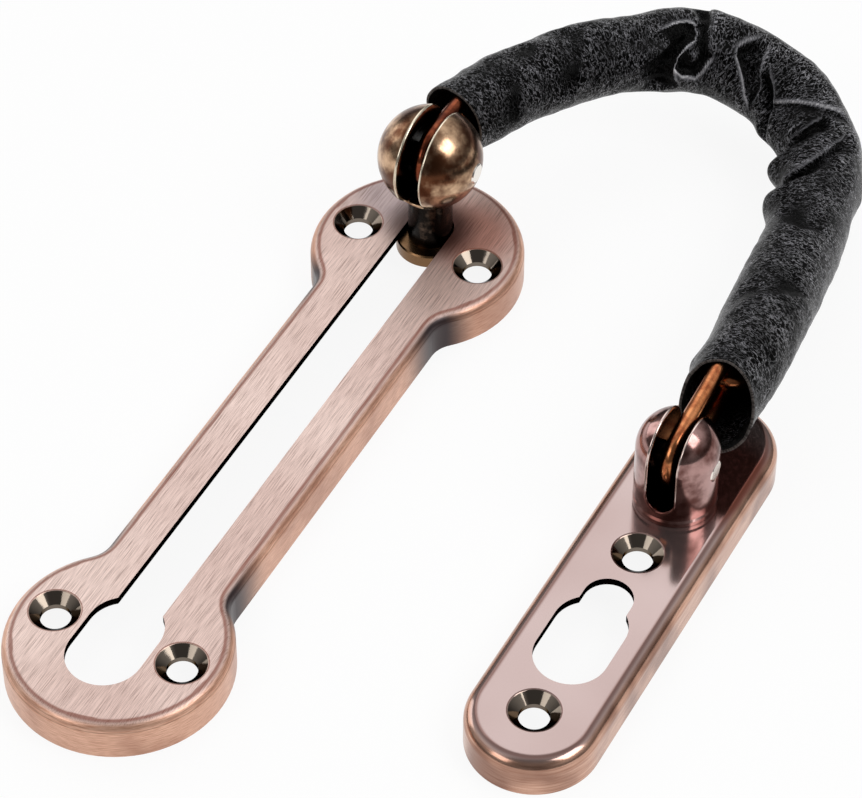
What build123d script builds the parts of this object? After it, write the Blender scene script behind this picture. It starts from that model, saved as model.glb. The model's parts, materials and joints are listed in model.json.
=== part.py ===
# Door chain: a keyhole track plate, a ball stud that slides in it, a chain in a soft sleeve,
# and an anchor plate with a swivel head. Millimetres, Z up, both plates lying on their backs.
# The origin is the middle of the track plate on its back plane, with Y along its slot.
import os
from math import asin, cos, degrees, radians, sin, sqrt, tan

from build123d import *

os.makedirs("parts", exist_ok=True)

# Pressed plates
plate_height = 7.0
sheet = 1.4
lobe_radius = 18.3
lobe_spacing = 99.0
rail_width = 23.0
rail_neck_fillet = 5.0
track_edge_fillet = 2.0
anchor_width = 21.8
anchor_edge_fillet = 2.4

# Screw holes, dimpled into the sheet
screw_gauge = 23.0
anchor_screw_spacing = 36.3
screw_hole = 5.0
countersink = 8.4
countersink_depth = 1.6
countersink_rim = 0.45
dimple_wall = 0.9
dimple_taper = 30

# Stud that runs in the slot
neck_dia = 7.6
slot_clearance = 0.3
foot_dia = 11.8
foot_thickness = 2.6
foot_clearance = 0.2
entry_clearance = 0.4
entry_straight = 6.0
entry_setback = 1.0
lock_reach = 4.7

# Chain
wire = 2.8
bend_radius = 4.4
link_inner_length = 20.5
link_gap = 0.3
link_turns = [33, 8, 37, 57, 37, -3, 9, 2]
arch_drops = [0.05, 0.20, 0.41, 0.67, 1.0]
arch_rises = [0.25, 0.83, 1.23]

# Forked ball and forked swivel head
pin_dia = 3.6
pin_fit = 0.02
ball_fork_clearance = 0.65
head_fork_clearance = 1.0
fork_floor_clearance = 0.8
ball_floor = 1.4
ball_seat_rim = 0.2
ball_above_plate = 16.4
ball_fork_corner = 0.8
fork_edge = 0.3
pin_proud = 0.2
pin_chamfer = 0.25
spigot_dia = 2.0
spigot_peen_dia = 3.0
spigot_peen = 0.35
swivel_fit = 0.05
head_dia = 13.7
head_floor = 2.9
dome_above_pin = 1.9
head_groove = 0.35
head_groove_height = 0.8
shank_dia = 7.0
washer_dia = 12.4
washer_thickness = 0.8
rivet_dia = 9.6
rivet_height = 1.2

# Anchor plate lengths, measured from the swivel head
head_to_screw = 13.6
head_to_end_arc = 13.6
park_clearance = 0.15
park_start = 30.7
park_straight = 6.6
park_neck_start = 24.4

# Sleeve
sleeve_clearance = 0.8
sleeve_wall = 0.8
sleeve_corner_cut = 1.2
sleeve_corner_share = 0.45
sleeve_mouth_at_ball = 11.0
floor_clearance = 0.1

# Sizes that follow from those above
slot_width = neck_dia + 2 * slot_clearance
entry_width = foot_dia + 2 * entry_clearance
park_width = foot_dia + 2 * park_clearance
lock_y = lobe_spacing / 2 + lock_reach
entry_y = -lobe_spacing / 2 - entry_setback
ball_fork_width = wire + 2 * ball_fork_clearance
head_fork_width = wire + 2 * head_fork_clearance
fork_depth = bend_radius + wire / 2 + fork_floor_clearance
ball_seat_radius = neck_dia / 2 + ball_seat_rim
ball_seat_drop = fork_depth + ball_floor
ball_radius = sqrt(ball_seat_drop**2 + ball_seat_radius**2)
head_pin_height = plate_height + head_floor + fork_depth
ball_height = plate_height + ball_above_plate
sleeve_bore = 2 * bend_radius + wire + 2 * sleeve_clearance
sleeve_dia = sleeve_bore + 2 * sleeve_wall
run_height = sleeve_dia / 2 + floor_clearance
link_straight = link_inner_length + wire - 2 * bend_radius
hook_reach = wire + link_gap
pin_reach = (pin_dia + wire) / 2 + link_gap
link_count = len(link_turns) + 1


# Directions in the chain are given by a heading from X and a slope, both in degrees.
def direction(heading, slope):
    run = cos(radians(slope))
    return Vector(run * cos(radians(heading)), run * sin(radians(heading)), sin(radians(slope)))


def upright(heading, slope):
    return direction(heading, slope + 90)


def stands(index):
    # The links at both forks stand upright, and every second one lies flat.
    return index % 2 == 0


# The chain leaves the ball along the slot and returns to the head the opposite way.
headings = [90.0]
for turn in link_turns:
    headings.append(headings[-1] - turn)

# It drops from the ball to the surface that the plates lie on, and rises again to the head.
joint_heights = [ball_height + share * (run_height - ball_height) for share in arch_drops]
joint_heights += [run_height + share * (head_pin_height - run_height) for share in arch_rises]
slopes = []
level = ball_height
for height in joint_heights:
    slopes.append(degrees(asin((height - level) / (link_inner_length - link_gap))))
    level = height

# Each link is hooked in the one before it. The last link's slope brings it to the head's pin.
ball_pin_at = Vector(0, lock_y, ball_height)
link_length = link_inner_length + wire
link_starts = [ball_pin_at - direction(headings[0], slopes[0]) * pin_reach]
link_ends = []
yaw_points = []
yaw_axes = []
for index in range(link_count):
    if index == link_count - 1:
        rise = head_pin_height - link_ends[-1].Z
        slopes.append(degrees(asin(rise / (link_length - pin_reach - hook_reach))))
    if index > 0:
        flat, standing = (index - 1, index) if stands(index) else (index, index - 1)
        hook = direction(headings[flat], slopes[standing]) * hook_reach
        link_starts.append(link_ends[-1] - hook)
        yaw_points.append(link_starts[-1] if stands(index) else link_ends[-1])
        yaw_axes.append(upright(headings[standing], slopes[standing]))
    link_ends.append(link_starts[-1] + direction(headings[index], slopes[index]) * link_length)

head_pin_at = link_ends[-1] - direction(headings[-1], slopes[-1]) * pin_reach
head_x = head_pin_at.X
head_y = head_pin_at.Y
anchor_heading = headings[-1]
ball_plane = Plane(origin=(0, lock_y, 0))
anchor_plane = Plane(origin=(head_x, head_y, 0), x_dir=direction(anchor_heading + 90, 0))
far_screw_y = -head_to_screw
near_screw_y = far_screw_y - anchor_screw_spacing


def track_outline():
    # Two round lobes joined by the rails.
    with Locations((0, lobe_spacing / 2), (0, -lobe_spacing / 2)):
        Circle(lobe_radius)
    Rectangle(rail_width, lobe_spacing)


def dimple_bosses(places):
    # Undersides of the dimples that the countersinks are pressed into.
    with Locations(*places):
        Circle(countersink / 2 + dimple_wall)


def countersunk_holes(places):
    with Locations(*places):
        Cone(
            screw_hole / 2,
            countersink / 2,
            countersink_depth,
            align=(Align.CENTER, Align.CENTER, Align.MAX),
            mode=Mode.SUBTRACT,
        )
        Hole(screw_hole / 2, depth=plate_height)


def countersink_rims(edges):
    # The round edges where the countersinks meet the top of the sheet.
    circles = edges.filter_by(GeomType.CIRCLE)
    return circles.filter_by(lambda edge: abs(edge.radius - countersink / 2) < pin_fit)


def fork_mouth(edges, middle, plane, width):
    # The edges where a fork's slot, cut along the plane's Y, comes out through the round outside.
    crossing = edges.filter_by(Axis(middle, plane.y_dir), reverse=True)
    return crossing.filter_by(lambda edge: abs((edge.center() - middle).dot(plane.x_dir)) < width / 2 + pin_fit)


def finish(part, name):
    part.label = name
    export_step(part, f"parts/{name}.step")


dimple_depth = countersink_depth - sheet + dimple_wall
track_screws = [
    (x, y)
    for x in (-screw_gauge / 2, screw_gauge / 2)
    for y in (-lobe_spacing / 2, lobe_spacing / 2)
]
anchor_screws = [(0, far_screw_y), (0, near_screw_y)]

# Track plate: a pressed shell, open at the back, with the keyhole slot pierced through it
with BuildPart() as track_plate:
    with BuildSketch():
        track_outline()
    extrude(amount=plate_height)
    fillet(track_plate.edges().filter_by(Axis.Z), rail_neck_fillet)
    fillet(track_plate.faces().sort_by(Axis.Z)[-1].outer_wire().edges(), track_edge_fillet)
    offset(amount=-sheet, openings=track_plate.faces().sort_by(Axis.Z)[0])
    with BuildSketch(Plane.XY.offset(plate_height - sheet)):
        dimple_bosses(track_screws)
    extrude(amount=-dimple_depth, taper=dimple_taper)
    with BuildSketch(Plane.XY.offset(plate_height)):
        with Locations((0, (lock_y + entry_y) / 2)):
            SlotCenterToCenter(lock_y - entry_y, slot_width, rotation=90)
        with Locations((0, entry_y)):
            SlotCenterToCenter(entry_straight, entry_width, rotation=90)
    extrude(amount=-plate_height, mode=Mode.SUBTRACT)
    with Locations(Plane.XY.offset(plate_height)):
        countersunk_holes(track_screws)
    fillet(countersink_rims(track_plate.edges()), countersink_rim)
finish(track_plate.part, "track_plate")

# Slide stud: a foot under the sheet, a neck in the slot, and a spigot peened inside the ball
foot_top = plate_height - sheet - foot_clearance
ball_seat = ball_height - ball_seat_drop
fork_floor = ball_height - fork_depth
with BuildPart() as slide_stud:
    with BuildSketch(ball_plane.offset(foot_top - foot_thickness)):
        Circle(foot_dia / 2)
    extrude(amount=foot_thickness)
    chamfer(slide_stud.edges().filter_by(GeomType.CIRCLE), pin_chamfer)
    with BuildSketch(ball_plane.offset(foot_top)):
        Circle(neck_dia / 2)
    extrude(amount=ball_seat - swivel_fit - foot_top)
    with BuildSketch(ball_plane.offset(ball_seat - swivel_fit)):
        Circle(spigot_dia / 2)
    extrude(amount=fork_floor + 2 * swivel_fit - ball_seat)
    with BuildSketch(ball_plane.offset(fork_floor + swivel_fit)):
        Circle(spigot_peen_dia / 2)
    extrude(amount=spigot_peen)
finish(slide_stud.part, "slide_stud")

# Ball: a sphere with a flat seat, slotted from the top for the first link
with BuildPart() as ball_head:
    with Locations(ball_pin_at):
        Sphere(ball_radius)
    split(bisect_by=ball_plane.offset(ball_seat), keep=Keep.TOP)
    fork_side = Plane(origin=ball_pin_at, x_dir=(1, 0, 0), z_dir=(0, -1, 0))
    with BuildSketch(fork_side.offset(-ball_radius)):
        with Locations((0, (ball_radius - fork_depth) / 2)):
            RectangleRounded(ball_fork_width, ball_radius + fork_depth, ball_fork_corner)
        with Locations((0, ball_radius - ball_fork_corner)):
            Rectangle(ball_fork_width, 2 * ball_fork_corner)
    extrude(amount=2 * ball_radius, mode=Mode.SUBTRACT)
    fillet(fork_mouth(ball_head.edges(Select.LAST), ball_pin_at, ball_plane, ball_fork_width), fork_edge)
    with Locations(ball_plane.offset(fork_floor)):
        Hole(spigot_dia / 2 + swivel_fit, depth=fork_depth)
    with BuildSketch(Plane(origin=ball_pin_at, z_dir=(1, 0, 0))):
        Circle(pin_dia / 2 + pin_fit)
    extrude(amount=ball_radius, both=True, mode=Mode.SUBTRACT)
finish(ball_head.part, "ball_head")


def cross_pin(center, half_length, name):
    with BuildPart() as pin:
        with BuildSketch(Plane(origin=center, z_dir=(1, 0, 0))):
            Circle(pin_dia / 2)
        extrude(amount=half_length, both=True)
        chamfer(pin.edges().filter_by(GeomType.CIRCLE), pin_chamfer)
    finish(pin.part, name)


cross_pin(ball_pin_at, sqrt(ball_radius**2 - (pin_dia / 2) ** 2) + pin_proud, "ball_pin")

# Chain links: round wire bent into a long oval, every second one turned a quarter
for index in range(link_count):
    along = direction(headings[index], slopes[index])
    above = upright(headings[index], slopes[index])
    middle = (link_starts[index] + link_ends[index]) * 0.5
    link_plane = Plane(origin=middle, x_dir=along, z_dir=above.cross(along) if stands(index) else above)
    half = link_straight / 2
    with BuildPart() as chain_link:
        with BuildLine(link_plane):
            first_leg = Line((-half, -bend_radius), (half, -bend_radius))
            TangentArc(first_leg @ 1, (half, bend_radius), tangent=first_leg % 1)
            Line((half, bend_radius), (-half, bend_radius))
            TangentArc((-half, bend_radius), first_leg @ 0, tangent=-along)
        with BuildSketch(Plane(origin=first_leg @ 0, z_dir=along)):
            Circle(wire / 2)
        sweep()
    finish(chain_link.part, f"chain_link_{index + 1}")

# Sleeve: a soft tube over the links, bent at each joint, with its mouths near the ball and the head
sleeve_points = [ball_pin_at + direction(headings[0], slopes[0]) * sleeve_mouth_at_ball]
sleeve_radii = []
joints = [end - direction(headings[i], slopes[i]) * (hook_reach / 2) for i, end in enumerate(link_ends)]
for index in range(link_count - 2):
    before = direction(headings[index], slopes[index])
    after = direction(headings[index + 1], slopes[index + 1])
    half_turn = radians(before.get_angle(after)) / 2
    corner = 1 / cos(half_turn) - 1
    legs = (joints[index] - sleeve_points[-1], joints[index + 1] - joints[index])
    room = sleeve_corner_share * min(leg.length for leg in legs)
    radius = min(room / tan(half_turn), sleeve_corner_cut / corner)
    # The corner is moved outwards by half of what its rounding cuts off.
    sleeve_points.append(joints[index] - (after - before).normalized() * (radius * corner / 2))
    sleeve_radii.append(radius)
sleeve_points.append(joints[link_count - 2])
with BuildPart() as chain_sleeve:
    with BuildLine() as sleeve_path:
        FilletPolyline(*sleeve_points, radius=sleeve_radii)
    start = sleeve_path.wires()[0]
    with BuildSketch(Plane(origin=start @ 0, z_dir=start % 0)):
        Circle(sleeve_dia / 2)
        Circle(sleeve_bore / 2, mode=Mode.SUBTRACT)
    sweep()
finish(chain_sleeve.part, "chain_sleeve")

# Swivel head: a forked post with a round top, its shank riveted under the anchor plate
rivet_top = plate_height - sheet - washer_thickness - 2 * swivel_fit
head_base = plate_height + swivel_fit
dome_center = head_pin_height + dome_above_pin
head_side = Plane(origin=(head_x, head_y, 0), x_dir=anchor_plane.x_dir, z_dir=-anchor_plane.y_dir)
with BuildPart() as swivel_head:
    with BuildSketch(head_side):
        with BuildLine():
            foot = Polyline(
                (0, rivet_top - rivet_height),
                (rivet_dia / 2, rivet_top - rivet_height),
                (rivet_dia / 2, rivet_top),
                (shank_dia / 2, rivet_top),
                (shank_dia / 2, head_base),
                (head_dia / 2, head_base),
                (head_dia / 2, head_base + head_groove_height),
                (head_dia / 2 - head_groove, head_base + head_groove_height + head_groove),
                (head_dia / 2, head_base + head_groove_height + 2 * head_groove),
                (head_dia / 2, dome_center),
            )
            TangentArc(foot @ 1, (0, dome_center + head_dia / 2), tangent=(0, 1))
            Line((0, dome_center + head_dia / 2), (0, rivet_top - rivet_height))
        make_face()
    revolve(axis=Axis((head_x, head_y, 0), (0, 0, 1)))
    fork_bottom = head_pin_height - fork_depth + head_fork_width / 2
    with BuildSketch(head_side.offset(-head_dia)):
        with Locations((0, fork_bottom)):
            Circle(head_fork_width / 2)
        with Locations((0, fork_bottom + head_dia)):
            Rectangle(head_fork_width, 2 * head_dia)
    extrude(amount=2 * head_dia, mode=Mode.SUBTRACT)
    fillet(fork_mouth(swivel_head.edges(Select.LAST), head_pin_at, anchor_plane, head_fork_width), fork_edge)
    with BuildSketch(Plane(origin=head_pin_at, z_dir=anchor_plane.x_dir)):
        Circle(pin_dia / 2 + pin_fit)
    extrude(amount=head_dia, both=True, mode=Mode.SUBTRACT)
finish(swivel_head.part, "swivel_head")
cross_pin(head_pin_at, sqrt((head_dia / 2) ** 2 - (pin_dia / 2) ** 2) + pin_proud, "swivel_pin")

with BuildPart() as swivel_washer:
    with BuildSketch(anchor_plane.offset(rivet_top + swivel_fit)):
        Circle(washer_dia / 2)
        Circle(shank_dia / 2 + swivel_fit, mode=Mode.SUBTRACT)
    extrude(amount=washer_thickness)
finish(swivel_washer.part, "swivel_washer")

# Anchor plate: a pressed shell with round ends, a keyhole to park the stud in, and the head's bearing hole
with BuildPart() as anchor_plate:
    with BuildSketch(anchor_plane):
        with Locations((0, (near_screw_y + head_to_end_arc) / 2)):
            SlotCenterToCenter(head_to_end_arc - near_screw_y, anchor_width, rotation=90)
    extrude(amount=plate_height)
    fillet(anchor_plate.faces().sort_by(Axis.Z)[-1].outer_wire().edges(), anchor_edge_fillet)
    offset(amount=-sheet, openings=anchor_plate.faces().sort_by(Axis.Z)[0])
    with BuildSketch(anchor_plane.offset(plate_height - sheet)):
        dimple_bosses(anchor_screws)
    extrude(amount=-dimple_depth, taper=dimple_taper)
    with BuildSketch(anchor_plane.offset(plate_height)):
        Circle(shank_dia / 2 + swivel_fit)
        with Locations((0, -park_start - park_straight / 2)):
            SlotCenterToCenter(park_straight, park_width, rotation=90)
        with Locations((0, -(park_start + park_neck_start) / 2)):
            SlotCenterToCenter(park_start - park_neck_start, slot_width, rotation=90)
    extrude(amount=-plate_height, mode=Mode.SUBTRACT)
    with Locations(anchor_plane.offset(plate_height)):
        countersunk_holes(anchor_screws)
    fillet(countersink_rims(anchor_plate.edges()), countersink_rim)
finish(anchor_plate.part, "anchor_plate")
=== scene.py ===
import json
import math

import bpy
import numpy as np
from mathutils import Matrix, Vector, noise
from mathutils.bvhtree import BVHTree


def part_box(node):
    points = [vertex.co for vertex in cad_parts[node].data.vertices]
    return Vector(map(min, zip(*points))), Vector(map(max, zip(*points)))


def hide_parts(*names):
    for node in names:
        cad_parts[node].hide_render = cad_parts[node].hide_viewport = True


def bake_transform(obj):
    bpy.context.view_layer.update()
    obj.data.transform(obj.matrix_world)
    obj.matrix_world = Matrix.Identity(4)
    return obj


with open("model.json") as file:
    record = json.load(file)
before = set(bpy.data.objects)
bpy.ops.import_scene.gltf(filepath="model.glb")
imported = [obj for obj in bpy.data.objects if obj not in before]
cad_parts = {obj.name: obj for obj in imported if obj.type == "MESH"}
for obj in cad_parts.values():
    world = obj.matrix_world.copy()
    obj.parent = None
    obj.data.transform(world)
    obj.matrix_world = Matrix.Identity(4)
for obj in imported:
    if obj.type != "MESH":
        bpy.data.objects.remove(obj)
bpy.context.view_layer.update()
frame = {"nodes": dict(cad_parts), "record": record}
nodes = frame["nodes"]
mounts = {m["name"]: m for m in frame["record"]["mounts"]}
mm = 0.001
linkNames = [f"chain_link_{k}" for k in range(1, 10)]
print("frame loaded with", len(nodes), "nodes")

scene = bpy.context.scene
scene.view_settings.view_transform = "Standard"

# The photograph's own view: a long lens, level, looking down at the plates
viewpoint = {
    "place": (0.2312, -0.3814, 0.4839),
    "target": (0.01916, 0.01831, 0.007),
    "focalPixels": 4000,
    "imageWidth": 862,
    "sensor": 36,
    "clipStart": 0.01,
}
lens = viewpoint["focalPixels"] / viewpoint["imageWidth"] * viewpoint["sensor"]
bpy.ops.object.camera_add(location=viewpoint["place"])
camera = bpy.context.object
camera.data.sensor_fit = "HORIZONTAL"
camera.data.sensor_width = viewpoint["sensor"]
camera.data.lens = lens
camera.data.clip_start = viewpoint["clipStart"]
sight = Vector(viewpoint["target"]) - Vector(viewpoint["place"])
camera.rotation_euler = sight.to_track_quat("-Z", "Y").to_euler()
scene.camera = camera
print("camera placed, lens", round(lens, 1), "mm")


def linear(hexColor):
    parts = [int(hexColor[i:i + 2], 16) / 255 for i in (1, 3, 5)]
    parts = [c / 12.92 if c <= 0.04045 else ((c + 0.055) / 1.055) ** 2.4 for c in parts]
    return (*parts, 1.0)


# Adds one node, sets its options, and sets or links its inputs. These are a dictionary by socket, or a row in
# the sockets' order. A node that stands for an input is linked by its first live output. A colour Mix takes
# its share at 0 and its colours at 6 and 7; a plain Mix takes its numbers at 2 and 3.
def addNode(mat, kind, options, inputs):
    node = mat.node_tree.nodes.new("ShaderNode" + kind)
    for name, value in options.items():
        setattr(node, name, value)
    for key, value in inputs.items() if isinstance(inputs, dict) else enumerate(inputs):
        if isinstance(value, bpy.types.Node):
            value = next(out for out in value.outputs if out.enabled)
        if isinstance(value, bpy.types.NodeSocket):
            mat.node_tree.links.new(value, node.inputs[key])
        else:
            node.inputs[key].default_value = value
    return node


# Options that many nodes share
colorMix = {"data_type": "RGBA"}
tintMix = {"data_type": "RGBA", "blend_type": "MULTIPLY"}
softStep = {"interpolation_type": "SMOOTHSTEP"}
add, subtract, multiply, absolute, largest, lengthOf = (
    {"operation": name} for name in ("ADD", "SUBTRACT", "MULTIPLY", "ABSOLUTE", "MAXIMUM", "LENGTH"))


def newMaterial(name):
    mat = bpy.data.materials.new(name)
    mat.use_nodes = True
    mat.node_tree.nodes.remove(mat.node_tree.nodes["Principled BSDF"])
    return mat


def surface(mat, inputs):
    shader = addNode(mat, "BsdfPrincipled", {}, inputs)
    mat.node_tree.links.new(shader.outputs[0], mat.node_tree.nodes["Material Output"].inputs[0])
    return shader


def paint(node, mat):
    node.data.materials.clear()
    node.data.materials.append(mat)


def middleOf(name):
    low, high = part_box(name)
    return (Vector(low) + Vector(high)) / 2 / mm


ballPin, headPin = middleOf("ball_pin"), middleOf("swivel_pin")


# How far each place is from the upright line through a point, in metres
def distanceFrom(mat, place, point):
    shifted = addNode(mat, "VectorMath", subtract, (place, [c * mm for c in point]))
    flat = addNode(mat, "VectorMath", multiply, (shifted, (1, 1, 0)))
    return addNode(mat, "VectorMath", lengthOf, (flat,))


# Distance from the axes of a plate's screw holes, which are mirror images about its middle
def holeDistance(mat, place, mount):
    gauge = mount["dims"].get("spacing_x_mm", 0) / 2
    pitch = mount["dims"]["spacing_y_mm"] / 2
    shifted = addNode(mat, "VectorMath", subtract, (place, mount["pos_m"]))
    folded = addNode(mat, "VectorMath", absolute, (shifted,))
    return distanceFrom(mat, folded, (gauge, pitch, 0))


# What both plates' finishes share: how fine the noises are, and where on each noise, or on the tilt of the
# surface (1 is level), a tone begins and ends. The fades and the groove depth are in mm.
plating = {
    "lineDetail": 3.0, "lineRoughness": 0.65, "lineRise": 0.4, "wallStretch": 20, "softDetail": 2.0,
    "haze": (0.35, 0.65), "wallTone": (0.3, 0.7), "stain": (0.42, 0.66), "roughTone": (0.3, 0.7),
    "top": (0.7, 0.96), "turnStart": (0.999, 0.985), "turnEnd": (0.86, 0.97), "steep": (0.35, 0.2),
    "cutFade": 0.2, "sinkFade": 0.25, "grooveDepth": 0.02,
}


# Copper-plated pressed steel, antiqued: darkened in the bath, then rubbed bright on top.
# The eye gets a pink-grey top with fine dark brushed lines, a brown line where the edge turns over that is
# partly a painted dark reflection, paler orange walls with fine level lines and painted shade in the necks,
# black cut edges in the slots, dark glossy countersinks, and painted shade and reflection around the ball and
# stud.
def platedCopper(name, look, mount):
    mat = newMaterial(name)
    place = addNode(mat, "TexCoord", {}, {}).outputs["Object"]
    normal = addNode(mat, "NewGeometry", {}, {}).outputs["Normal"]
    upward = addNode(mat, "SeparateXYZ", {}, (normal,)).outputs["Z"]
    parts = addNode(mat, "SeparateXYZ", {}, (place,)).outputs
    line = look["lineWidth"] * mm
    stretched = (1 / line, 1 / (line * look["lineStretch"]), plating["lineRise"] / line)
    along = addNode(mat, "Mapping", {}, {0: place, 3: stretched})
    lines = addNode(mat, "TexNoise", {}, {"Vector": along, "Scale": 1.0, "Detail": plating["lineDetail"],
                                          "Roughness": plating["lineRoughness"]})
    wide = line * plating["wallStretch"]
    level = addNode(mat, "Mapping", {}, {0: place, 3: (1 / wide, 1 / wide, 1 / line)})
    wallLines = addNode(mat, "TexNoise", {}, {"Vector": level, "Scale": 1.0, "Detail": plating["softDetail"]})
    cloud, blotch = (addNode(mat, "TexNoise", {}, {"Vector": place, "Scale": 1 / (look[size] * mm),
                                                   "Detail": plating["softDetail"]})
                     for size in ("cloudSize", "stainSize"))
    # The top: brushed lines under a faint haze, with tints around what stands on the plate: on the track
    # painted shadow and reflection of the ball and stud, partly reddish tarnish, and on the anchor a
    # red-brown tint beside the swivel head
    tone = addNode(mat, "MapRange", {}, (lines, look["lineLow"], look["lineHigh"]))
    topColor = addNode(mat, "Mix", colorMix,
                       {0: tone, 6: linear(look["topDark"]), 7: linear(look["topLight"])})
    haze = addNode(mat, "MapRange", {}, (cloud, *plating["haze"], 0.0, look["cloudStrength"]))
    topColor = addNode(mat, "Mix", tintMix, {0: haze, 6: topColor, 7: linear(look["cloudTint"])})
    # Each spot multiplies the top by a tint that fades out from a point; on the track these are painted shade
    # and reflection
    for spot in look["shadeAndTintSpots"]:
        apart = distanceFrom(mat, place, spot["at"])
        fall = (apart, spot["near"] * mm, spot["far"] * mm, spot["share"], 0.0)
        shadeAndTint = addNode(mat, "MapRange", softStep, fall)
        topColor = addNode(mat, "Mix", tintMix, {0: shadeAndTint, 6: topColor, 7: linear(spot["tint"])})
    # The walls: level lines and soft stains, darkened by painted shade and dark reflection in the neck
    # between a lobe and the rail
    tone = addNode(mat, "MapRange", {}, (wallLines, *plating["wallTone"]))
    wallColor = addNode(mat, "Mix", colorMix,
                        {0: tone, 6: linear(look["wallDark"]), 7: linear(look["wallLight"])})
    stain = addNode(mat, "MapRange", softStep, (blotch, *plating["stain"], 0.0, look["stainShare"]))
    wallColor = addNode(mat, "Mix", colorMix, {0: stain, 6: wallColor, 7: linear(look["stainColor"])})
    if "neck" in look:
        run = addNode(mat, "Math", absolute, (parts["Y"],))
        start, end = (addNode(mat, "MapRange", softStep, (run, a * mm, b * mm)) for a, b in look["neck"])
        shade = addNode(mat, "Math", multiply, (start, end))
        wallColor = addNode(mat, "Mix", colorMix, {0: shade, 6: wallColor, 7: linear(look["neckShadeColor"])})
    # Both meet at a brown line where the edge turns over: brown tarnish, with a painted dark reflection where
    # the turn begins
    top, turnStart, turnEnd = (addNode(mat, "MapRange", softStep, (upward, *plating[tilt]))
                               for tilt in ("top", "turnStart", "turnEnd"))
    color = addNode(mat, "Mix", colorMix, {0: top, 6: wallColor, 7: topColor})
    turn = addNode(mat, "Math", multiply, (turnStart, turnEnd))
    turn = addNode(mat, "Math", multiply, (turn, look["edgeShare"]))
    color = addNode(mat, "Mix", colorMix, {0: turn, 6: color, 7: linear(look["edgeColor"])})
    # The slots' cut edges and the countersinks are bare dark metal
    under = look["top"] - look["sheet"]
    steep = addNode(mat, "MapRange", {}, (upward, *plating["steep"]))
    high = addNode(mat, "MapRange", {}, (parts["Z"], (under - plating["cutFade"]) * mm, under * mm))
    cut = addNode(mat, "Math", multiply, (steep, high))
    color = addNode(mat, "Mix", colorMix, {0: cut, 6: color, 7: linear(look["cutColor"])})
    away, rim = holeDistance(mat, place, mount), look["sinkRadius"]
    inside = addNode(mat, "MapRange", softStep, (away, rim * mm, (rim - plating["sinkFade"]) * mm))
    color = addNode(mat, "Mix", colorMix, {0: inside, 6: color, 7: linear(look["sinkColor"])})
    bare = addNode(mat, "Math", largest, (cut, inside))
    metallic = addNode(mat, "MapRange", {}, {0: bare, 3: look["metallic"], 4: 1.0})
    glance = addNode(mat, "Mix", colorMix, {0: bare, 6: linear("#ffffff"), 7: linear(look["cutColor"])})
    topRough = addNode(mat, "MapRange", {},
                       (lines, *plating["roughTone"], look["roughHigh"], look["roughLow"]))
    rough = addNode(mat, "Mix", {}, {0: top, 2: look["wallRough"], 3: topRough})
    rough = addNode(mat, "Mix", {}, {0: inside, 2: rough, 3: look["sinkRough"]})
    grooves = addNode(mat, "Bump", {}, {"Strength": look["lineBump"], "Distance": plating["grooveDepth"] * mm,
                                        "Height": lines})
    surface(mat, {"Base Color": color, "Metallic": metallic, "Roughness": rough, "Normal": grooves,
                  "Specular Tint": glance})
    return mat


trackLook = {
    "lineWidth": 0.1, "lineStretch": 60, "lineLow": 0.28, "lineHigh": 0.54, "lineBump": 0.15,
    "cloudSize": 35, "cloudStrength": 0.3, "cloudTint": "#c4a8a2",
    "topDark": "#8d736a", "topLight": "#ead2c9", "wallDark": "#c28c72", "wallLight": "#f2c4aa",
    "stainSize": 14, "stainShare": 0.45, "stainColor": "#96604a",
    "neck": ((22, 33), (41, 36)), "neckShadeColor": "#3d3233", "edgeColor": "#7c3618", "edgeShare": 0.7,
    # To the ball's right a painted reflection of the ball with some tarnish, around the stud's foot a painted
    # shadow and reflection of stud and ball, and to its left painted shade
    "shadeAndTintSpots": ({"at": (7, 56, 0), "near": 3, "far": 12, "share": 0.75, "tint": "#e0a693"},
               {"at": (0, 54, 0), "near": 4.5, "far": 9.8, "share": 0.9, "tint": "#503329"},
               {"at": (-9, 58, 0), "near": 3, "far": 11, "share": 0.8, "tint": "#ccd2de"}),
    "cutColor": "#100b09", "top": 7.0, "sheet": 1.4,
    "sinkRadius": 4.25, "sinkColor": "#786e64", "sinkRough": 0.08,
    "roughLow": 0.44, "roughHigh": 0.54, "wallRough": 0.34, "metallic": 0.55,
}
anchorLook = {
    "lineWidth": 0.3, "lineStretch": 30, "lineLow": 0.2, "lineHigh": 0.6, "lineBump": 0.0,
    "cloudSize": 30, "cloudStrength": 0.3, "cloudTint": "#bda39d",
    "topDark": "#b2a09d", "topLight": "#b2a09d", "wallDark": "#b58771", "wallLight": "#dbb19b",
    "stainSize": 11, "stainShare": 0.6, "stainColor": "#5f3529",
    "edgeColor": "#5c2f20", "edgeShare": 0.65,
    "shadeAndTintSpots": ({"at": headPin + Vector((5, 7, 0)), "near": 6, "far": 14, "share": 0.9, "tint": "#a05a4a"},),
    "cutColor": "#100b09", "top": 7.0, "sheet": 1.4,
    "sinkRadius": 4.25, "sinkColor": "#786e64", "sinkRough": 0.08,
    "roughLow": 0.12, "roughHigh": 0.12, "wallRough": 0.2, "metallic": 0.9,
}
paint(nodes["track_plate"], platedCopper("brushedAntiqueCopper", trackLook, mounts["track_screws"]))
paint(nodes["anchor_plate"], platedCopper("satinAntiqueCopper", anchorLook, mounts["anchor_screws"]))
print("plates finished")


# Where a fork's slot begins and ends, in mm from the head's radius, the slot's half width and its floor
forkFades = {"deep": (-0.3, -0.7), "between": (0.12, 0.04), "near": (0.5, 0.3), "past": (-0.25, -0.05),
             "above": (0.0, 0.6)}
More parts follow.
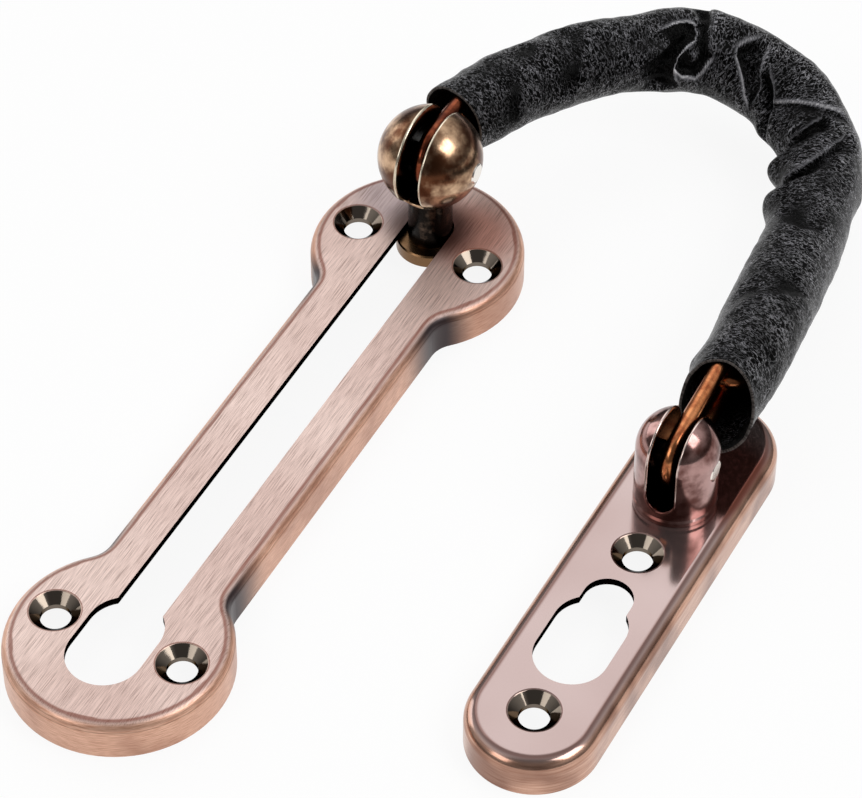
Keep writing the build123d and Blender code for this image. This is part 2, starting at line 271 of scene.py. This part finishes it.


# A forked head's slot: its inside painted black as shade, and a pale rim along its mouth, rubbed bright and
# painted as a highlight
def forkSlot(mat, place, fork):
    shifted = addNode(mat, "VectorMath", subtract, (place, [c * mm for c in fork["middle"]]))
    parts = addNode(mat, "SeparateXYZ", {}, (shifted,)).outputs
    rise = addNode(mat, "Math", largest, (parts["Z"], fork["roundAbove"] * mm))
    spoke = addNode(mat, "CombineXYZ", {}, (parts["X"], parts["Y"], rise))
    reach = addNode(mat, "VectorMath", lengthOf, (spoke,))
    side = addNode(mat, "Math", absolute, (parts["X"],))
    measures = {"deep": (reach, fork["radius"]), "between": (side, fork["half"]),
                "near": (side, fork["half"]), "past": (side, fork["half"]),
                "above": (parts["Z"], fork["floor"])}
    share = {}
    for part, (measure, edge) in measures.items():
        low, high = forkFades[part]
        share[part] = addNode(mat, "MapRange", {}, (measure, (edge + low) * mm, (edge + high) * mm))
    inside = addNode(mat, "Math", multiply, (share["deep"], share["between"]))
    outside = addNode(mat, "Math", subtract, (1.0, share["deep"]))
    rim = addNode(mat, "Math", multiply, (share["near"], share["past"]))
    rim = addNode(mat, "Math", multiply, (rim, outside))
    rim = addNode(mat, "Math", multiply, (rim, share["above"]))
    return inside, rim


# What the small metal pieces share: how fine their patches and pits are, and the pits' depth in mm
mottling = {"patchDetail": 4.0, "patchRoughness": 0.6, "pitDetail": 2.0, "roughTone": (0.3, 0.7),
            "pitDepth": 0.05}


# Small turned, drawn and cast pieces: the eye gets two tones of one metal in soft patches, with fine pits
def mottledMetal(name, look):
    mat = newMaterial(name)
    place = addNode(mat, "TexCoord", {}, {}).outputs["Object"]
    patches = addNode(mat, "TexNoise", {}, {"Vector": place, "Scale": 1 / (look["patchSize"] * mm),
                                            "Detail": mottling["patchDetail"],
                                            "Roughness": mottling["patchRoughness"]})
    grit = addNode(mat, "TexNoise", {}, {"Vector": place, "Scale": 1 / (look["gritSize"] * mm),
                                         "Detail": mottling["pitDetail"]})
    share = addNode(mat, "MapRange", softStep, (patches, look["patchLow"], look["patchHigh"]))
    color = addNode(mat, "Mix", colorMix, {0: share, 6: linear(look["dark"]), 7: linear(look["light"])})
    if "zone" in look:
        zone = look["zone"]
        shifted = addNode(mat, "VectorMath", subtract, (place, [c * mm for c in zone["middle"]]))
        folded = addNode(mat, "VectorMath", absolute, (shifted,))
        depth = addNode(mat, "SeparateXYZ", {}, (folded,)).outputs[zone["axis"]]
        mask = addNode(mat, "MapRange", {}, (depth, zone["start"] * mm, zone["end"] * mm))
        color = addNode(mat, "Mix", colorMix, {0: mask, 6: color, 7: linear(zone["color"])})
    if "fork" in look:
        # Painted shade inside the slot and a painted highlight along its rim
        inside, rim = forkSlot(mat, place, look["fork"])
        color = addNode(mat, "Mix", colorMix, {0: inside, 6: color, 7: linear(look["slotShadeColor"])})
        color = addNode(mat, "Mix", colorMix, {0: rim, 6: color, 7: linear(look["rimHighlightColor"])})
    rough = addNode(mat, "MapRange", {},
                    (patches, *mottling["roughTone"], look["roughHigh"], look["roughLow"]))
    pits = addNode(mat, "Bump", {}, {"Strength": look["gritBump"], "Distance": mottling["pitDepth"] * mm,
                                     "Height": grit})
    surface(mat, {"Base Color": color, "Metallic": 1.0, "Roughness": rough, "Normal": pits})
    return mat


# Cast brass, antiqued: gold-brown with dark tarnish, painted black as shade in the fork, with a painted
# highlight along its mouth
ballLook = {"patchSize": 6, "patchLow": 0.38, "patchHigh": 0.66, "gritSize": 0.4, "gritBump": 0.1,
            "dark": "#5c3926", "light": "#d6b392", "roughLow": 0.16, "roughHigh": 0.25,
            "fork": {"middle": ballPin, "half": 2.05, "radius": 8.6, "roundAbove": -100, "floor": -100},
            "slotShadeColor": "#0a0706", "rimHighlightColor": "#e6dac4"}
# Turned steel, plated and darkened: glossy red-brown with paler pink patches, painted black as shade in the
# fork, with a painted highlight along its mouth
headLook = {"patchSize": 6, "patchLow": 0.38, "patchHigh": 0.66, "gritSize": 0.4, "gritBump": 0.08,
            "dark": "#5e3a34", "light": "#b18d88", "roughLow": 0.12, "roughHigh": 0.2,
            "fork": {"middle": headPin + Vector((0, 0, 1.9)), "half": 2.4, "radius": 6.85, "roundAbove": 0,
                     "floor": -5.6},
            "slotShadeColor": "#0c0706", "rimHighlightColor": "#d9c4bc"}
# Drawn copper wire: warm orange, lightly scuffed, and painted dark red-brown as shade in the link that lies
# in the ball's slot
wireLook = {"patchSize": 3, "patchLow": 0.35, "patchHigh": 0.65, "gritSize": 0.3, "gritBump": 0.06,
            "dark": "#8f4c30", "light": "#c98558", "roughLow": 0.16, "roughHigh": 0.26}
shadedWireLook = {**wireLook, "dark": "#4f2419", "light": "#83462f"}
# Steel pins: painted shade makes them black inside the forks; polished near white at their ends
ballPinLook = {"patchSize": 2, "patchLow": 0.3, "patchHigh": 0.6, "gritSize": 0.3, "gritBump": 0.08,
               "dark": "#120c0a", "light": "#241812", "roughLow": 0.15, "roughHigh": 0.25,
               "zone": {"middle": ballPin, "axis": 0, "start": 6.5, "end": 7.2, "color": "#f0eae2"}}
headPinLook = {**ballPinLook,
               "zone": {"middle": headPin, "axis": 0, "start": 5.0, "end": 5.6, "color": "#f0e8e0"}}
# Blackened steel: near black with worn brown specks, and a foot of the colour of brass
studLook = {"patchSize": 2, "patchLow": 0.5, "patchHigh": 0.72, "gritSize": 0.3, "gritBump": 0.2,
            "dark": "#15100d", "light": "#4f4036", "roughLow": 0.2, "roughHigh": 0.32,
            "zone": {"middle": (0, 0, 0), "axis": 2, "start": 5.5, "end": 5.35, "color": "#7a5c40"}}
paint(nodes["ball_head"], mottledMetal("antiqueCastBrass", ballLook))
paint(nodes["swivel_head"], mottledMetal("darkenedCopperHead", headLook))
blackedSteel = mottledMetal("blackenedSteel", studLook)
paint(nodes["slide_stud"], blackedSteel)
paint(nodes["swivel_washer"], blackedSteel)
paint(nodes["ball_pin"], mottledMetal("polishedBallPin", ballPinLook))
paint(nodes["swivel_pin"], mottledMetal("polishedHeadPin", headPinLook))
copperWire = mottledMetal("drawnCopperWire", wireLook)
for link in linkNames[1:]:
    paint(nodes[link], copperWire)
paint(nodes[linkNames[0]], mottledMetal("shadedFirstCopperWire", shadedWireLook))
print("small metal pieces finished")

# The sleeve: a soft tube of thin black leathercloth over the chain, open at both ends, creased at the turn.
# Runs are in mm from its mouth by the ball. Angles are in degrees: 0 outside the turn, 90 on top, 180 inside.
sleeve = {
    "wall": 0.5, "step": 0.4, "facets": 132, "firstAngle": -90, "curveSteps": 48,
    "ballMouth": (-0.7, 11.0, -0.4), "headMouth": (1.6, 13.6, 2.6),  # where it ends, from the two pins
    "slack": (-0.5, 1.5, 1.2, 2.0, -0.3, 0.0, 0.5),  # how far it hangs outside the links
    "girth": ((0, 6.4), (11, 6.8), (42, 6.7), (58, 7.3), (70, 7.3), (78, 6.9), (87, 7.2), (105, 6.9),
              (122, 7.2), (138, 7.0), (150, 6.6)),  # radius along the run
    "ballLip": 1.5, "ballLipAngle": 40, "headLip": 7.5, "headLipAngle": 285, "lipRun": 26,
    "lumpSize": 9, "lumpHeight": 0.35, "wrinkleSize": 2.4, "wrinkleHeight": 0.15,
    "reach": 14, "standoff": 0.1, "tauten": 60, "slope": 0.97,  # how it is drawn taut over the links
    # The tube's inside takes a wear value below zero, which paints it dark as shade
    "arcRadius": 7.0, "foldFade": 0.15, "lineWidth": 0.3, "grainStart": 7, "insideShade": -0.6,
    "seamClear": 4.0,  # a distance in from each stretch's ends
    "standIn": 5,  # the stretch that takes the place of the plain sleeve
}
# The section of every fold, in fold widths: the hollow lies at minus, the lip at plus; the painted shade
# rises from the line and spreads into the hollow
crease = {"hollowAt": -1, "lipFrom": -0.5, "lipRise": 0.7, "lipFall": 1.2, "tuckAt": 0.15, "tuckSpread": 0.6,
          "darkRise": 0.15, "darkSpread": 1.5}
# Each fold is a line drawn on the unrolled cloth as (run, angle), with a raised lip on one side of it and a
# hollow on the other; tuck pulls the lip over the hollow, the line's paleness is rubbed wear and a painted
# highlight along the lip, and dark is how black the hollow is painted as shade
folds = (
    {"path": ((40.5, 108), (44, 88), (47, 82), (49, 88), (49.6, 104), (49, 124), (47, 136), (45, 150),
              (44.4, 166), (44.6, 182), (46, 200)),
     "side": -1, "width": 3.2, "depth": 2.6, "lip": 0.7, "tuck": 0.9, "wearAndPaintedLight": 0.9, "dark": 1.8},
    {"path": ((47, 136), (45, 150), (44.4, 168), (46, 180), (49, 182), (50.6, 166), (52, 146), (52.6, 134)),
     "side": 1, "width": 1.8, "depth": 1.6, "lip": 0.7, "tuck": 0.4, "wearAndPaintedLight": 0.9, "dark": 0.7},
    {"path": ((51.5, 40), (51.6, 82), (51.6, 110), (51.5, 128), (51.5, 145)),
     "side": -1, "width": 1.3, "depth": 1.6, "lip": 0.9, "tuck": 0.5, "wearAndPaintedLight": 0.1, "dark": 0.9},
    {"path": ((60, 74), (57.2, 94), (55.6, 114), (56, 130), (57.6, 141), (59.5, 156), (61.5, 172), (64, 182),
              (66, 186)),
     "side": 1, "width": 1.9, "depth": 2.2, "lip": 0.8, "tuck": 0.9, "wearAndPaintedLight": 0.8, "dark": 0.55},
    {"path": ((61.5, 82), (62, 110), (63, 128), (65, 146), (65.6, 162), (64.6, 178)),
     "side": -1, "width": 1.4, "depth": 1.2, "lip": 0.5, "tuck": 0.3, "wearAndPaintedLight": 0.5, "dark": 0.5},
    {"path": ((63, 112), (67, 124), (69.5, 134), (72, 150), (74, 168), (75, 190), (75.5, 210)),
     "side": -1, "width": 1.5, "depth": 2.2, "lip": 0.8, "tuck": 0.6, "wearAndPaintedLight": 0.5, "dark": 0.9},
    {"path": ((69.5, 142), (71.5, 132), (75, 102), (76.5, 84), (77.5, 60), (78.5, 40)),
     "side": -1, "width": 1.0, "depth": 0.6, "lip": 0.4, "tuck": 0.3, "wearAndPaintedLight": 0.9, "dark": 0.4},
    {"path": ((78, 80), (79, 98), (80.3, 122), (80.2, 154), (79.6, 180), (79, 225)),
     "side": 1, "width": 1.7, "depth": 2.6, "lip": 1.0, "tuck": 1.0, "wearAndPaintedLight": 0.3, "dark": 0.7},
    {"path": ((81, 50), (85, 82), (89, 100), (91.5, 116), (92.6, 140), (92.2, 170), (91.5, 215)),
     "side": 1, "width": 1.4, "depth": 2.0, "lip": 0.9, "tuck": 0.8, "wearAndPaintedLight": 0.3, "dark": 0.65},
    {"path": ((104, 150), (106, 136), (110, 112), (111.6, 90), (110, 45)),
     "side": 1, "width": 3.0, "depth": 0.7, "lip": 0.4, "tuck": 0.0, "wearAndPaintedLight": 0.0, "dark": 0.45},
    {"path": ((20, 60), (18, 90), (12, 116), (8.5, 164), (8, 200)),
     "side": -1, "width": 2.8, "depth": 0.5, "lip": 0.4, "tuck": 0.0, "wearAndPaintedLight": 0.0, "dark": 0.4},
    {"path": ((29, 70), (26.5, 112), (23, 146), (21.5, 190)),
     "side": -1, "width": 2.8, "depth": 0.7, "lip": 0.4, "tuck": 0.0, "wearAndPaintedLight": 0.0, "dark": 0.45},
    {"path": ((128, 30), (133, 80), (136, 130)),
     "side": -1, "width": 3.2, "depth": 0.6, "lip": 0.3, "tuck": 0.0, "wearAndPaintedLight": 0.0, "dark": 0.3},
)
# Where the cloth stands out or sinks in between the folds
bulges = (
    {"run": 86.5, "angle": 180, "long": 2.6, "wide": 36, "height": 2.2},
    {"run": 96.5, "angle": 172, "long": 3.4, "wide": 36, "height": 1.5},
    {"run": 72, "angle": 195, "long": 4.0, "wide": 35, "height": 1.2},
    {"run": 81.5, "angle": 184, "long": 2.2, "wide": 28, "height": -2.4},
    {"run": 92.6, "angle": 182, "long": 2.2, "wide": 28, "height": -2.2},
    {"run": 47, "angle": 25, "long": 9.0, "wide": 50, "height": 0.6},
)
# Paler spots on the cloth: outside the turn, rubbed grey and painted as a highlight along the outer edge, and
# beside the mouth at the swivel head, rubbed grey
rubsAndHighlights = (
    {"run": 92, "angle": 8, "long": 30, "wide": 34, "share": 0.06},
    {"run": 142, "angle": 165, "long": 12, "wide": 30, "share": 0.05},
)


def smooth(x):
    x = np.clip(x, 0, 1)
    return x * x * (3 - 2 * x)


def unit(rows):
    return rows / np.linalg.norm(rows, axis=-1, keepdims=True)


# A soft round spot on the unrolled cloth: 1 in its middle, falling to 0
def spotShare(run, angle, spot):
    along = (run - spot["run"]) / spot["long"]
    around = (angle - spot["angle"]) / spot["wide"]
    return np.exp(-along ** 2 - around ** 2)


# A smooth line through the links' middles, a little slack to the outside, evenly divided
def sleeveRoute():
    links = [middleOf(name) for name in linkNames]
    points = [ballPin + Vector(sleeve["ballMouth"])]
    for k, slack in enumerate(sleeve["slack"], start=1):
        outward = Vector((0, 0, 1)).cross(links[k + 1] - links[k - 1]).normalized()
        points.append(links[k] + outward * slack)
    points.append(headPin + Vector(sleeve["headMouth"]))
    bpy.ops.curve.primitive_bezier_curve_add()
    curve = bpy.context.object
    spline = curve.data.splines[0]
    spline.resolution_u = sleeve["curveSteps"]
    spline.bezier_points.add(len(points) - 2)
    for knot, place in zip(spline.bezier_points, points):
        knot.co = place
        knot.handle_left_type = knot.handle_right_type = "AUTO"
    line = np.array([v.co for v in curve.to_mesh().vertices])
    bpy.ops.object.delete()
    travel = np.concatenate([[0], np.cumsum(np.linalg.norm(np.diff(line, axis=0), axis=1))])
    runs = np.arange(0, travel[-1], sleeve["step"])
    return runs, np.column_stack([np.interp(runs, travel, line[:, i]) for i in range(3)])


# Signed distance from a line on the unrolled cloth, the way across it, and the share of the line run so far
def fromPath(run, arc, path):
    ends = np.array([(r, math.radians(angle) * sleeve["arcRadius"]) for r, angle in path])
    lengths = np.linalg.norm(np.diff(ends, axis=0), axis=1)
    near = np.full(run.shape, np.inf)
    sure = np.zeros_like(run)
    signed = np.zeros_like(run)
    share = np.zeros_like(run)
    across = np.zeros(run.shape + (2,))
    for k, length in enumerate(lengths):
        ahead = (ends[k + 1] - ends[k]) / length
        x, y = run - ends[k][0], arc - ends[k][1]
        travel = np.clip(x * ahead[0] + y * ahead[1], 0, length)
        gap = np.hypot(x - travel * ahead[0], y - travel * ahead[1])
        left = ahead[0] * y - ahead[1] * x
        level = np.isclose(gap, near)
        tied = level & (np.abs(left) > sure)  # at a bend, the side comes from the clearer segment
        closer = (gap < near) & ~level | tied
        near = np.where(closer, gap, near)
        sure = np.where(closer, np.abs(left), sure)
        signed = np.where(closer, np.where(left < 0, -gap, gap), signed)
        share = np.where(closer, (lengths[:k].sum() + travel) / lengths.sum(), share)
        across[closer] = (-ahead[1], ahead[0])
    return signed, across, share


# How far the cloth stands out, how far it is pushed along and around, and how its fold lines are worn pale
# and painted with highlights and its hollows painted black as shade
def sleeveFolds(run, angle, length):
    swell = np.interp(run, *zip(*sleeve["girth"]))
    push = np.zeros(run.shape + (2,))
    wearAndPaintedLight = np.zeros_like(run)
    arc = np.radians(angle) * sleeve["arcRadius"]
    for fold in folds:
        signed, across, share = fromPath(run, arc, fold["path"])
        x = fold["side"] * signed / fold["width"]
        fade = smooth(share / sleeve["foldFade"]) * smooth((1 - share) / sleeve["foldFade"])
        hollow = np.exp(-(x - crease["hollowAt"]) ** 2)
        lip = smooth((x - crease["lipFrom"]) / crease["lipRise"])
        lip *= np.exp(-np.clip(x, 0, None) / crease["lipFall"])
        swell += fade * (fold["lip"] * lip - fold["depth"] * hollow)
        tuck = np.exp(-((x - crease["tuckAt"]) / crease["tuckSpread"]) ** 2)
        pull = -fade * fold["side"] * fold["tuck"] * tuck
        push += pull[..., None] * across
        wearAndPaintedLight += fade * fold["wearAndPaintedLight"] * np.exp(-(signed / sleeve["lineWidth"]) ** 2)
        # Painted shade: beside each fold line the hollow's side is darkened towards black
        black = smooth(-x / crease["darkRise"]) * np.exp(-(x / crease["darkSpread"]) ** 2)
        wearAndPaintedLight -= fade * fold["dark"] * black
    for bulge in bulges:
        swell += bulge["height"] * spotShare(run, angle, bulge)
    # A painted highlight outside the turn, and rubbed grey spots
    for paleSpot in rubsAndHighlights:
        wearAndPaintedLight += paleSpot["share"] * spotShare(run, angle, paleSpot)
    ballSide = 0.5 + 0.5 * np.cos(np.radians(angle - sleeve["ballLipAngle"]))
    headSide = 0.5 + 0.5 * np.cos(np.radians(angle - sleeve["headLipAngle"]))
    push[..., 0] -= sleeve["ballLip"] * ballSide * smooth(1 - run / sleeve["lipRun"])
    push[..., 0] += sleeve["headLip"] * headSide * smooth((run - length) / sleeve["lipRun"] + 1)
    return swell, push, np.clip(wearAndPaintedLight, -1, 1)


# How far out the cloth must stand to clear the links inside it
def linkClearance(line, away):
    corners, triangles = [], []
    for name in linkNames:
        mesh = nodes[name].data
        triangles += [[len(corners) + i for i in face.vertices] for face in mesh.polygons]
        corners += [v.co / mm for v in mesh.vertices]
    chain = BVHTree.FromPolygons(corners, triangles)
    beyond = sleeve["reach"]
    need = np.zeros(away.shape[:2])
    for i, j in np.ndindex(need.shape):
        inward = -Vector(away[i, j])
        distance = chain.ray_cast(Vector(line[i]) - inward * beyond, inward, beyond)[3]
        if distance is not None:
            need[i, j] = beyond - distance + sleeve["wall"] + sleeve["standoff"]
    return need


# Lifts the cloth off the links like a taut skin, so that what they press out falls away softly around them
def tauten(swell, need):
    short = np.maximum(need - swell, 0)
    lift = short
    for _ in range(sleeve["tauten"]):
        wide = np.pad(np.pad(lift, ((1, 1), (0, 0)), mode="edge"), ((0, 0), (1, 1)), mode="wrap")
        mean = (wide[:-2, 1:-1] + wide[2:, 1:-1] + wide[1:-1, :-2] + wide[1:-1, 2:]) / 4
        lift = np.maximum(short, mean * sleeve["slope"])
    return swell + lift


# The whole tube as rings of points, with what each point needs for its shading and for its wear, painted
# highlights and painted shade
def sleeveGrid():
    runs, line = sleeveRoute()
    along = unit(np.gradient(line, axis=0))
    outer = unit(np.cross((0, 0, 1), along))
    upper = np.cross(along, outer)
    angles = sleeve["firstAngle"] + np.linspace(0, 360, sleeve["facets"], endpoint=False)
    run, angle = np.meshgrid(runs, angles, indexing="ij")
    swell, push, wearAndPaintedLight = sleeveFolds(run, angle, runs[-1])
    cosine = np.cos(np.radians(angle))[..., None]
    sine = np.sin(np.radians(angle))[..., None]
    away = outer[:, None] * cosine + upper[:, None] * sine
    swell = tauten(swell, linkClearance(line, away))
    aside = upper[:, None] * cosine - outer[:, None] * sine
    skin = line[:, None] + away * swell[..., None] + along[:, None] * push[..., :1] + aside * push[..., 1:]
    rough = np.zeros_like(run)
    for i, j in np.ndindex(run.shape):
        place = Vector(skin[i, j])
        rough[i, j] = sleeve["lumpHeight"] * noise.noise(place / sleeve["lumpSize"])
        rough[i, j] += sleeve["wrinkleHeight"] * noise.noise(place / sleeve["wrinkleSize"])
    skin += away * rough[..., None]
    around = np.roll(skin, -1, axis=1) - np.roll(skin, 1, axis=1)
    normals = unit(np.cross(around, np.gradient(skin, axis=0)))
    ring = sleeve["arcRadius"] * np.concatenate([cosine, sine], axis=-1)
    cloth = np.concatenate([ring, run[..., None] + sleeve["grainStart"]], axis=-1)
    return line, along, skin, normals, wearAndPaintedLight, cloth


# One closed stretch of the tube between two rings; its normals come from the whole tube, so no seam shows
def sleeveStretch(name, grid, first, last):
    _, along, skin, normals, wearAndPaintedLight, cloth = grid
    n = sleeve["facets"]
    rings = last - first + 1
    outside = skin[first:last + 1].reshape(-1, 3)
    away = normals[first:last + 1].reshape(-1, 3)
    inside = outside - away * sleeve["wall"]
    half = rings * n
    quads = []
    shading = []
    for i in range(rings - 1):
        for j in range(n):
            a, b = i * n + j, i * n + (j + 1) % n
            quads.append((a, b, b + n, a + n))
            shading += [away[v] for v in quads[-1]]
            quads.append((a + half, a + n + half, b + n + half, b + half))
            shading += [-away[v - half] for v in quads[-1]]
    for j in range(n):
        a, b = j, (j + 1) % n
        quads.append((a, a + half, b + half, b))
        shading += [-along[first]] * 4
        c, d = a + half - n, b + half - n
        quads.append((c, d, d + half, c + half))
        shading += [along[last]] * 4
    mesh = bpy.data.meshes.new(name)
    mesh.from_pydata((np.concatenate([outside, inside]) * mm).tolist(), [], quads)
    mesh.polygons.foreach_set("use_smooth", [True] * len(mesh.polygons))
    mesh.normals_split_custom_set([tuple(v) for v in shading])
    # Each point carries its wear with painted light: pale along the fold lines, where rubbed and as painted
    # highlights, and black in the hollows as painted shade
    wearAndLight = mesh.attributes.new("wearAndPaintedLight", "FLOAT", "POINT")
    outer = wearAndPaintedLight[first:last + 1].ravel()
    # The inside faces are painted dark as shade
    wearAndLight.data.foreach_set("value", np.concatenate([outer, np.full_like(outer, sleeve["insideShade"])]))
    unrolled = mesh.attributes.new("cloth", "FLOAT_VECTOR", "POINT")
    unrolled.data.foreach_set("vector", np.tile(cloth[first:last + 1].ravel(), 2))
    piece = bpy.data.objects.new(name, mesh)
    scene.collection.objects.link(piece)
    return piece


# What both cloth finishes share: the noises' fineness, where their tones begin and end, and the grain's
# height as a share of its size
clothGrain = {"detail": 2.3, "wave": 0.6, "ridgeAt": 0.5, "patchDetail": 3.0, "patchTone": (0.3, 0.7),
              "paleTone": (0.35, 1.0), "height": 0.3, "sheenRough": 0.4}


# Thin grained leathercloth: near black, with small wavy grain ridges on worn tops painted grey as glints,
# paler along the fold lines where rubbed and painted as highlights, black in the hollows as painted shade,
# and a paler cut edge
def leather(name, look):
    mat = newMaterial(name)
    cloth = addNode(mat, "Attribute", {"attribute_name": "cloth"}, {}).outputs["Vector"]
    wearAndLight = addNode(mat, "Attribute", {"attribute_name": "wearAndPaintedLight"}, {}).outputs["Fac"]
    place = addNode(mat, "VectorMath", multiply, (cloth, (1, 1, look["squeeze"])))
    grain = addNode(mat, "TexNoise", {}, {"Vector": place, "Scale": 1 / look["grainSize"],
                                          "Detail": clothGrain["detail"], "Distortion": clothGrain["wave"]})
    middle = addNode(mat, "Math", subtract, (grain, clothGrain["ridgeAt"]))
    middle = addNode(mat, "Math", absolute, (middle,))
    # Painted glints: on the sleeve's cloth the grain's ridges are coloured grey where the leather would glint
    ridge = addNode(mat, "MapRange", softStep, (middle, look["ridge"], 0.0))
    patches = addNode(mat, "TexNoise", {}, {"Vector": cloth, "Scale": 1 / look["patchSize"],
                                            "Detail": clothGrain["patchDetail"]})
    rubbed = addNode(mat, "MapRange", {},
                     (patches, *clothGrain["patchTone"], look["rubLow"], look["rubHigh"]))
    share = addNode(mat, "Math", multiply, (ridge, rubbed))
    share = addNode(mat, "Math", {**add, "use_clamp": True}, (share, wearAndLight))
    color = addNode(mat, "Mix", colorMix, {0: share, 6: linear(look["dark"]), 7: linear(look["light"])})
    pale = addNode(mat, "MapRange", {}, (wearAndLight, *clothGrain["paleTone"]))
    color = addNode(mat, "Mix", colorMix, {0: pale, 6: color, 7: linear(look["pale"])})
    shine = addNode(mat, "MapRange", {}, (share, 0.0, 1.0, look["glossLow"], look["glossHigh"]))
    bump = addNode(mat, "Bump", {}, {"Strength": look["grainBump"], "Height": ridge,
                                     "Distance": look["grainSize"] * clothGrain["height"] * mm})
    surface(mat, {"Base Color": color, "Roughness": look["rough"], "Normal": bump,
                  "Specular IOR Level": shine, "Sheen Weight": look["sheen"],
                  "Sheen Roughness": clothGrain["sheenRough"]})
    return mat


leatherLook = {"grainSize": 1.0, "squeeze": 2.0, "ridge": 0.055, "patchSize": 6, "grainBump": 1.0,
               "glossLow": 0.03, "glossHigh": 1.0, "rubLow": 0.12, "rubHigh": 1.0,
               "dark": "#010101", "light": "#aaa9b0", "pale": "#c3c1c3", "rough": 0.24, "sheen": 0.05}
edgeLook = {"grainSize": 0.5, "squeeze": 1.0, "ridge": 0.2, "patchSize": 2, "grainBump": 0.3,
            "glossLow": 0.1, "glossHigh": 0.2, "rubLow": 0.6, "rubHigh": 1.0,
            "dark": "#3c3836", "light": "#7d7773", "pale": "#7d7773", "rough": 0.8, "sheen": 0.0}
blackLeather = leather("blackLeathercloth", leatherLook)
cutEdge = leather("cutLeatherEdge", edgeLook)
grid = sleeveGrid()
line = grid[0]
# The tube is cut at the middles of links 2 to 8, so that each stretch lies over one hook of the chain
cuts = [0]
for name in linkNames[1:-1]:
    cuts.append(int(np.argmin(np.linalg.norm(line - np.array(middleOf(name)), axis=1))))
cuts.append(len(line) - 1)
for k, (first, last) in enumerate(zip(cuts[:-1], cuts[1:]), start=1):
    piece = sleeveStretch(f"sleeve_stretch_{k}", grid, first, last)
    piece.data.materials.append(blackLeather)
    piece.data.materials.append(cutEdge)
    rims = piece.data.polygons[-2 * sleeve["facets"]:]  # the start's and the end's faces by turns
    for index, rim in enumerate(rims):
        mouth = k == 1 if index % 2 == 0 else k == len(cuts) - 1
        rim.material_index = int(mouth)
    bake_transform(piece)
    if k == sleeve["standIn"]:
        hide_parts("chain_sleeve")
print("sleeve made in", len(cuts) - 1, "stretches, route", round(len(line) * sleeve["step"], 1), "mm")

# The floor and a soft studio: a pale sky that is dark behind the camera, and four soft panels
studio = {
    "floorSize": 6, "floorColor": "#f4f4f4", "whiteShare": 0.9, "white": "#ffffff",
    "horizon": 0.1, "zenith": 0.8, "skyHeights": (0.0, 0.8),
    "darkSide": (0.322, -0.608, 0.725), "darkCone": (0.70, 0.94), "darkLevel": 0.2,
}
panels = {
    "backPanel": {"place": (-0.39, 0.73, 0.87), "size": 0.9, "power": 2.2},
    "rightPanel": {"place": (0.66, 0.04, 0.74), "size": 0.5, "power": 3.2},
    "leftPanel": {"place": (-0.85, 0.15, 0.28), "size": 0.5, "power": 1.2},
    "frontPanel": {"place": (-0.3, -0.77, 0.58), "size": 0.42, "power": 1.3},
}
bpy.ops.mesh.primitive_plane_add(size=studio["floorSize"], location=(0, 0, 0))
floor = bpy.context.object
floor.name = "floor"
# White paper: it takes the object's shadow, and is seen near white by the eye and in the metal
paper = newMaterial("whitePaper")
matt = addNode(paper, "BsdfDiffuse", {}, {"Color": linear(studio["floorColor"])})
glow = addNode(paper, "Emission", {}, {"Color": linear(studio["white"]), "Strength": 1.0})
rays = addNode(paper, "LightPath", {}, {}).outputs
seen = addNode(paper, "Math", add, (rays["Is Camera Ray"], rays["Is Glossy Ray"]))
seen = addNode(paper, "Math", {**add, "use_clamp": True}, (seen, rays["Is Transmission Ray"]))
share = addNode(paper, "Math", multiply, (seen, studio["whiteShare"]))
sheet = addNode(paper, "MixShader", {}, (share, matt, glow))
paper.node_tree.links.new(sheet.outputs[0], paper.node_tree.nodes["Material Output"].inputs[0])
paint(floor, paper)
world = bpy.data.worlds.new("studio")
world.use_nodes = True
toward = addNode(world, "TexCoord", {}, {}).outputs["Generated"]
height = addNode(world, "SeparateXYZ", {}, (toward,)).outputs["Z"]
sky = addNode(world, "MapRange", softStep,
              (height, *studio["skyHeights"], studio["horizon"], studio["zenith"]))
facing = addNode(world, "VectorMath", {"operation": "DOT_PRODUCT"}, (toward, studio["darkSide"]))
shade = addNode(world, "MapRange", softStep, (facing, *studio["darkCone"], 1.0, studio["darkLevel"]))
level = addNode(world, "Math", multiply, (sky, shade))
background = world.node_tree.nodes["Background"]
background.inputs["Color"].default_value = linear(studio["white"])
world.node_tree.links.new(level.outputs[0], background.inputs["Strength"])
scene.world = world
for name, panel in panels.items():
    bpy.ops.object.light_add(type="AREA", location=panel["place"])
    lamp = bpy.context.object
    lamp.name = name
    lamp.data.size = panel["size"]
    lamp.data.energy = panel["power"]
    aim = Vector(viewpoint["target"]) - Vector(panel["place"])
    lamp.rotation_euler = aim.to_track_quat("-Z", "Y").to_euler()
print("studio ready")
